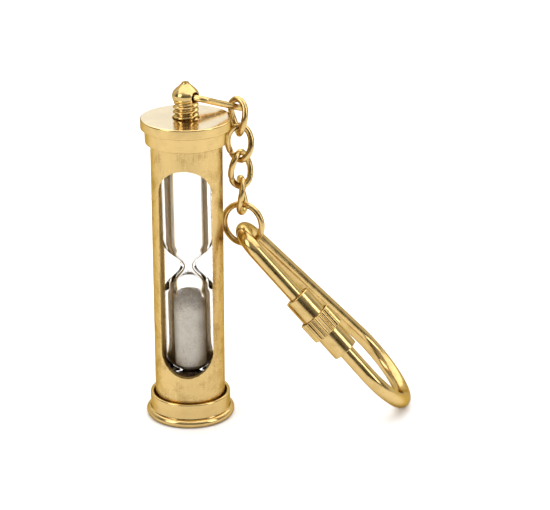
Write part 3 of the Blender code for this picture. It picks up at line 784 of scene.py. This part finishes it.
def pinched(path, seam, depth=0.22, width=0.22 * MM):
    """Wire radius along a closed path, less a narrow dip at the seam's point."""
    away = np.linalg.norm(path - path[seam], axis=1)
    return WORN_WIRE * (1 - depth * np.exp(-(away / width) ** 2))[:, None]


def make_loop(name, path, normal, node_name, seam):
    """A closed wire loop from its path."""
    radius = np.repeat(pinched(path, seam), WIRE_SIDES, axis=1)
    surface = sweep(path, radius, normal)
    make_piece(name, surface, grid_quads(len(path), WIRE_SIDES, True), wire_brass, node_name, node_name,
               uv=grid_uv(len(path), WIRE_SIDES, True))


hangs = [np.array(joints[f"chain_link_{number}_swing"]["pos_m"]) for number in range(1, 5)]
hangs.append(np.array(joints["jump_ring_swing"]["pos_m"]))
down = unit(hangs[-1] - hangs[0])
for number, hang in enumerate(hangs[:-1], start=1):
    top = unit(np.cross(down, joints[f"chain_link_{number}_swing"]["axis"]))
    across = top * math.cos(LINK_TURN / 2) + np.cross(down, top) * math.sin(LINK_TURN / 2)
    middle = hang + down * (LINK_LENGTH / 2 - 2 * WIRE - GAP)
    path, normal = oval_path(middle, down, across, LINK_LENGTH, LINK_WIDTH, LINK_TURN)
    make_loop(f"link_{number}", path, normal, f"chain_link_{number}", 30 + 3 * number)

ring_top = np.array(joints["key_ring_swing"]["pos_m"])
across = unit(np.cross(down, joints["jump_ring_swing"]["axis"]))
middle = hangs[-1] + down * (JUMP_RADIUS - 2 * WIRE - GAP)
path, normal = oval_path(middle, down, across, 2 * JUMP_RADIUS, 2 * JUMP_RADIUS, 0.0)
make_loop("jump_loop", path, normal, "jump_ring", 12)

# %% [markdown]
# ## The finial's loop
#
# This wire is bent by hand and isn't an oval. It passes through the cross hole, falls to the
# flange's edge, where the first link hangs, and comes back round the finial. It lies in one sloping
# plane, so a few corners in that plane and a smooth curve through them are enough.

# %% The finial's loop


def closed_curve(corners, steps=14):
    """A Catmull-Rom curve through a ring of corners, as one array."""
    t = np.arange(steps)[None, :, None] / steps
    before, here, after, later = (np.roll(corners, shift, axis=0)[:, None] for shift in (1, 0, -1, -2))
    curve = 0.5 * (2 * here + (after - before) * t
                   + (2 * before - 5 * here + 4 * after - later) * t ** 2
                   + (3 * here - before - 3 * after + later) * t ** 3)
    return curve.reshape(-1, corners.shape[-1])


hole_side = np.array([-hole_axis[1], hole_axis[0], 0.0])
HOLE_HEIGHT = hole_centre[2] - cap_high[2]
loop_fall = (HOLE_HEIGHT - WIRE - GAP) / FLANGE
far = hangs[0] - 0.1 * MM * np.array([1, 1, 0])
far_along, far_side = far @ hole_axis, far @ hole_side
mouth = HEAD_RADIUS * 0.75
beside = HEAD_RADIUS + WIRE + GAP
loop_corners = np.array([
    (-mouth, 0), (mouth, 0), (beside + 0.8 * MM, 0.9 * MM),
    (0.45 * beside + 0.55 * far_along, 0.38 * far_side), (far_along, far_side),
    (far_along - 1.0 * MM, far_side + 2.6 * MM), (far_along - 3.2 * MM, far_side + 3.0 * MM),
    (0.25 * far_along, 0.93 * far_side), (-0.30 * far_along, 0.62 * far_side),
    (-beside + 0.1 * MM, 0.22 * far_side)])
flat = closed_curve(loop_corners)
slope = hole_side - np.array([0, 0, loop_fall])
path = hole_centre + flat[:, :1] * hole_axis + flat[:, 1:] * slope
make_loop("finial_loop", path, unit(np.cross(hole_axis, slope)), "finial_link", 100)

# %% [markdown]
# ## The key ring
#
# The ring is one bar bent to a pear, open on its straight side. A threaded end stands on each
# side of the opening inside the barrel, and the thread shows when the barrel is run back. The
# bar's radius is a grid of its own, so that the thread, the rounded ends and the plain bar are
# one surface.

# %% Key ring
BAR = 1.65 * MM
RING_LENGTH = 52.0 * MM
SMALL_END = 4.9 * MM
LARGE_END = 11.4 * MM
OPENING = 4.2 * MM
SLEEVE_LENGTH = 15.6 * MM
BAR_PITCH = 0.8 * MM
BAR_THREAD = 0.28 * MM       # depth
BAR_SPACING = 0.16 * MM      # between rows, fine enough for the thread
BAR_SIDES = 36
wide = unit(joints["key_ring_swing"]["axis"])
sink = min((ring_top[2] - BAR) / RING_LENGTH, 1.0)
heading = np.array([wide[1], -wide[0], 0.0])
long_way = heading * math.sqrt(1 - sink ** 2) - np.array([0, 0, sink])
small_centre = ring_top + long_way * SMALL_END
large_centre = ring_top + long_way * (RING_LENGTH - LARGE_END)
taper = math.asin((LARGE_END - SMALL_END) / np.linalg.norm(large_centre - small_centre))
bar_up = unit(joints["lock_slide"]["axis"])
sleeve_middle = np.array(joints["collar_turn"]["pos_m"])


def round_end(centre, radius, start, stop, steps):
    """Points of one round end, by their angle from the ring's long direction."""
    angle = np.linspace(start, stop, steps)[:, None]
    return centre + radius * (long_way * np.cos(angle) + wide * np.sin(angle))


def stretch(points, spacing):
    """Place points again along a path at an even spacing."""
    travel = np.concatenate([[0], np.cumsum(np.linalg.norm(np.diff(points, axis=0), axis=1))])
    even = np.linspace(0, travel[-1], int(travel[-1] / spacing) + 1)
    return np.stack([np.interp(even, travel, points[:, axis]) for axis in range(3)], -1), even


def make_key_ring():
    """Sweep the bent bar, with rounded ends and a helical thread on the part inside the barrel."""
    side = math.pi / 2 + taper
    route = np.vstack([sleeve_middle - bar_up * OPENING / 2,
                       round_end(large_centre, LARGE_END, -side, side, 160),
                       round_end(small_centre, SMALL_END, side, TAU - side, 90),
                       sleeve_middle + bar_up * OPENING / 2])
    path, travel = stretch(route, BAR_SPACING)
    angle = np.arange(BAR_SIDES)[None, :] * TAU / BAR_SIDES
    from_end = np.minimum(travel, travel[-1] - travel)[:, None]
    wave = np.abs(((travel[:, None] / BAR_PITCH - angle / TAU) % 1.0) * 2 - 1)
    threaded = np.clip((SLEEVE_LENGTH / 2 - OPENING / 2 - 0.8 * MM - from_end) / (0.5 * MM), 0, 1)
    nose = np.sqrt(np.clip(1 - (1 - np.clip(from_end / (0.4 * MM), 0, 1)) ** 2, 0, 1))
    radius = (BAR - BAR_THREAD * wave * threaded) * (0.75 + 0.25 * nose)
    radius[0] = radius[-1] = 0.0
    surface = sweep(path, radius, unit(np.cross(long_way, wide)), BAR_SIDES, closed=False)
    surface[0], surface[-1] = path[1], path[-2]    # flat ends
    return surface


ring_surface = make_key_ring()
make_piece("ring_bar", ring_surface, grid_quads(*ring_surface.shape[:2]), bar_brass, "key_ring", "key_ring",
           uv=grid_uv(*ring_surface.shape[:2]))

# %% [markdown]
# ## The screw lock
#
# A smooth barrel closes the ring's opening, and a knurled collar on it gives the fingers a grip.
# Both are outlines spun about Z and then carried onto the bar. The straight knurl is a cosine wave
# in the radius, round the turn, on the rows of the outer face only.

# %% Barrel
SLEEVE_WALL = 0.9 * MM
COLLAR_WALL = 0.5 * MM
SLEEVE = BAR + GAP + SLEEVE_WALL
COLLAR = SLEEVE + GAP + COLLAR_WALL
COLLAR_LENGTH = 4.6 * MM
TEETH = 20
TOOTH_DEPTH = 0.28 * MM
BARREL_STEPS = 96
KNURL_STEPS = 240


def along_bar(points):
    """Carry points made about Z onto the straight bar, with the barrel's middle as their origin."""
    first = unit(np.cross([0.0, 0.0, 1.0], bar_up))
    second = np.cross(bar_up, first)
    flat = sleeve_middle + points[..., :1] * first + points[..., 1:2] * second
    return flat + points[..., 2:] * bar_up


half = SLEEVE_LENGTH / 2
bore = BAR + GAP
sleeve_profile = rounded([(bore, 0), (bore, -half), (SLEEVE, -half), (SLEEVE, half), (bore, half),
                          (bore, 0)], 0.22 * MM)
sleeve_points = along_bar(turn_profile(sleeve_profile[:-1], BARREL_STEPS))
make_piece("barrel", sleeve_points, grid_quads(*sleeve_points.shape[:2], True), bar_brass, "lock_sleeve",
           "lock_sleeve", uv=grid_uv(*sleeve_points.shape[:2], True))

half = COLLAR_LENGTH / 2
bore = SLEEVE + GAP
collar_profile = rounded([(bore, 0), (bore, -half), (COLLAR, -half), (COLLAR, half), (bore, half),
                          (bore, 0)], 0.25 * MM, 5)[:-1]
outer_rows = collar_profile[:, 0] > (bore + COLLAR) / 2
collar_points = turn_profile(collar_profile, KNURL_STEPS)
turn = np.arange(KNURL_STEPS)[None, :] * TAU / KNURL_STEPS
groove = 0.5 - 0.5 * np.cos(turn * TEETH)
shrink = 1 - TOOTH_DEPTH / COLLAR * groove ** 1.4 * outer_rows[:, None]
collar_points[..., 0] *= shrink
collar_points[..., 1] *= shrink
collar_points = along_bar(collar_points)
make_piece("knurl", collar_points, grid_quads(*collar_points.shape[:2], True), bar_brass, "knurled_collar",
           "knurled_collar", uv=grid_uv(*collar_points.shape[:2], True))

# %% [markdown]
# ## Light
#
# Polished metal shows only what stands round it. An all-white tent makes it pale and shapeless,
# so only the sky ahead of the camera is white. Behind the camera it is nearly black along the
# horizon and grey above and below, which gives a bright tube its darker stretches. Three soft
# boxes, at the left, at the right and overhead, add the broad highlights.

# %% Floor, sky and lamps


def make_floor():
    """A wide pale floor."""
    mesh = bpy.data.meshes.new("floor")
    reach = 3.0
    corners = [(-reach, -reach, 0), (reach, -reach, 0), (reach, reach, 0), (-reach, reach, 0)]
    mesh.from_pydata(corners, [], [(0, 1, 2, 3)])
    floor = bpy.data.objects.new("floor", mesh)
    bpy.context.collection.objects.link(floor)
    material, _, shader = new_material("pale_floor")
    shader.inputs["Base Color"].default_value = (0.93, 0.93, 0.93, 1.0)
    shader.inputs["Roughness"].default_value = 0.7
    mesh.materials.append(material)


def make_sky():
    """White ahead of the camera. Behind it, nearly black along the horizon and grey beyond that."""
    world = bpy.data.worlds.new("tent")
    world.use_nodes = True
    bpy.context.scene.world = world
    tree = world.node_tree
    background = tree.nodes["Background"]
    coords = tree.nodes.new("ShaderNodeTexCoord")
    parts = tree.nodes.new("ShaderNodeSeparateXYZ")
    tree.links.new(coords.outputs["Generated"], parts.inputs[0])
    x, y, z = parts.outputs
    height = span(tree, maths(tree, "ABSOLUTE", maths(tree, "SUBTRACT", z, 0.10)), 0.0, 0.45, 0.10, 0.50)
    ahead = span(tree, y, 0.0, 1.0, -0.15, 0.45)
    light = maths(tree, "MAXIMUM", height, ahead)
    colour = ramp(tree, light, [(0.0, (0.05, 0.045, 0.035)), (1.0, (1.0, 1.0, 1.0))])
    tree.links.new(colour, background.inputs["Color"])
    background.inputs["Strength"].default_value = 1.0


def soft_box(name, place, target, size, power):
    """A rectangular lamp that faces its target."""
    data = bpy.data.lights.new(name, "AREA")
    data.shape = "RECTANGLE"
    data.size, data.size_y = size
    data.energy = power
    lamp = bpy.data.objects.new(name, data)
    bpy.context.collection.objects.link(lamp)
    lamp.location = place
    lamp.rotation_euler = (Vector(target) - Vector(place)).to_track_quat("-Z", "Y").to_euler()


make_floor()
make_sky()
soft_box("left_box", (-0.45, -0.35, 0.35), (0, 0, 0.03), (0.30, 0.45), 1.5)
soft_box("right_box", (0.50, -0.25, 0.30), (0.02, 0, 0.03), (0.18, 0.40), 0.9)
soft_box("top_box", (0.05, 0.16, 0.42), (0.03, 0.10, 0.0), (0.75, 0.75), 2.9)
bpy.context.scene.view_settings.view_transform = "Standard"
